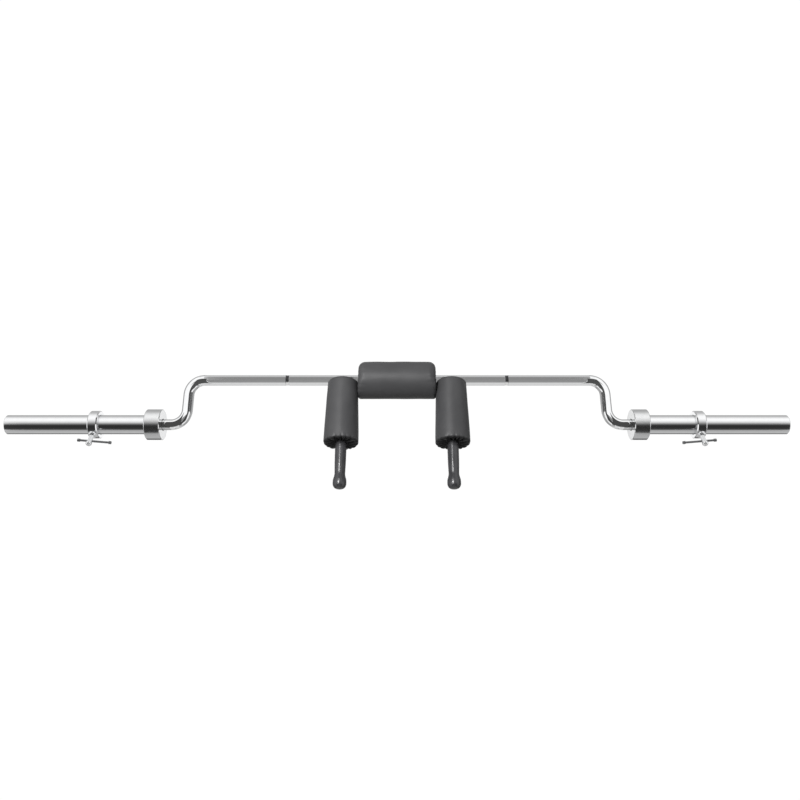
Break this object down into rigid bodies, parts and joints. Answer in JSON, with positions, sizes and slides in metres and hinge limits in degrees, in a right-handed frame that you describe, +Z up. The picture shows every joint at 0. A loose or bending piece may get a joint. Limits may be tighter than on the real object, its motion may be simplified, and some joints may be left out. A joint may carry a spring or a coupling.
{
  "type": "safety squat bar",
  "caption": "Cambered chrome barbell with padded neck and shoulder rolls, forward hand grips, rotating plate sleeves and screw-clamp lock rings.",
  "frame": {"origin": "on the floor below the middle of the bar's box, as the bar lies at rest on its neck roll and both sleeve flanges", "axes": "+X runs along the bar to the end on the right as seen from the handles, -Y is the side that the handles and the sleeves' camber reach to, +Z is up"},
  "size_m": [2.0192, 0.3374, 0.1422],
  "materials": {
    "chrome": "polished hard chrome plate",
    "bronze": "sintered bronze",
    "steel": "plain machined steel",
    "vinyl": "matt charcoal leatherette",
    "foam": "closed-cell foam",
    "rubber": "smooth glossy rubber"
  },
  "bodies": {
    "bar": {"bar_shaft": "chrome", "neck_pad_cover": "vinyl", "neck_pad_foam": "foam", "left_handle": "chrome", "left_grip": "rubber", "left_shoulder_pad_cover": "vinyl", "left_shoulder_pad_foam": "foam", "left_thrust_washer": "steel", "left_retaining_ring": "steel", "right_handle": "chrome", "right_grip": "rubber", "right_shoulder_pad_cover": "vinyl", "right_shoulder_pad_foam": "foam", "right_thrust_washer": "steel", "right_retaining_ring": "steel"},
    "left_plate_sleeve": {"left_flange": "chrome", "left_sleeve": "chrome", "left_inner_bushing": "bronze", "left_outer_bushing": "bronze", "left_end_cap": "chrome"},
    "left_collar": {"left_lock_ring": "chrome"},
    "left_foot": {"left_clamp_foot": "bronze"},
    "left_screw": {"left_clamp_screw": "chrome"},
    "left_tommy": {"left_tommy_bar": "steel", "left_tommy_cap": "steel"},
    "right_plate_sleeve": {"right_flange": "chrome", "right_sleeve": "chrome", "right_inner_bushing": "bronze", "right_outer_bushing": "bronze", "right_end_cap": "chrome"},
    "right_collar": {"right_lock_ring": "chrome"},
    "right_foot": {"right_clamp_foot": "bronze"},
    "right_screw": {"right_clamp_screw": "chrome"},
    "right_tommy": {"right_tommy_bar": "steel", "right_tommy_cap": "steel"}
  },
  "joints": [
    {"name": "left_sleeve_spin", "type": "hinge", "parent": "bar", "child": "left_plate_sleeve", "pos_m": [-0.60658, 0.00463, 0.03992], "axis": [-1, 0, 0], "continuous": true},
    {"name": "left_collar_slide", "type": "slide", "parent": "left_plate_sleeve", "child": "left_collar", "axis": [-1, 0, 0], "range_m": [-0.1202, 0.24]},
    {"name": "left_foot_travel", "type": "slide", "parent": "left_collar", "child": "left_foot", "axis": [0, -0.7902, 0.6129], "range_m": [0, 0.0035]},
    {"name": "left_screw_turn", "type": "hinge", "parent": "left_foot", "child": "left_screw", "pos_m": [-0.77958, 0.00463, 0.03992], "axis": [0, -0.7902, 0.6129], "range_deg": [0, 720]},
    {"name": "left_tommy_slide", "type": "slide", "parent": "left_screw", "child": "left_tommy", "axis": [-0.9936, 0.0694, 0.0895], "range_m": [-0.0179, 0.0409]},
    {"name": "right_sleeve_spin", "type": "hinge", "parent": "bar", "child": "right_plate_sleeve", "pos_m": [0.60658, 0.00463, 0.03992], "axis": [1, 0, 0], "continuous": true},
    {"name": "right_collar_slide", "type": "slide", "parent": "right_plate_sleeve", "child": "right_collar", "axis": [1, 0, 0], "range_m": [-0.1202, 0.24]},
    {"name": "right_foot_travel", "type": "slide", "parent": "right_collar", "child": "right_foot", "axis": [0, -0.7902, 0.6129], "range_m": [0, 0.0035]},
    {"name": "right_screw_turn", "type": "hinge", "parent": "right_foot", "child": "right_screw", "pos_m": [0.77958, 0.00463, 0.03992], "axis": [0, -0.7902, 0.6129], "range_deg": [0, 720]},
    {"name": "right_tommy_slide", "type": "slide", "parent": "right_screw", "child": "right_tommy", "axis": [0.9936, 0.0694, 0.0895], "range_m": [-0.0179, 0.0409]}
  ],
  "couplings": [
    {"joint": "left_screw_turn", "follows": "left_foot_travel", "rad_per_m": 3590.4},
    {"joint": "right_screw_turn", "follows": "right_foot_travel", "rad_per_m": 3590.4}
  ]
}
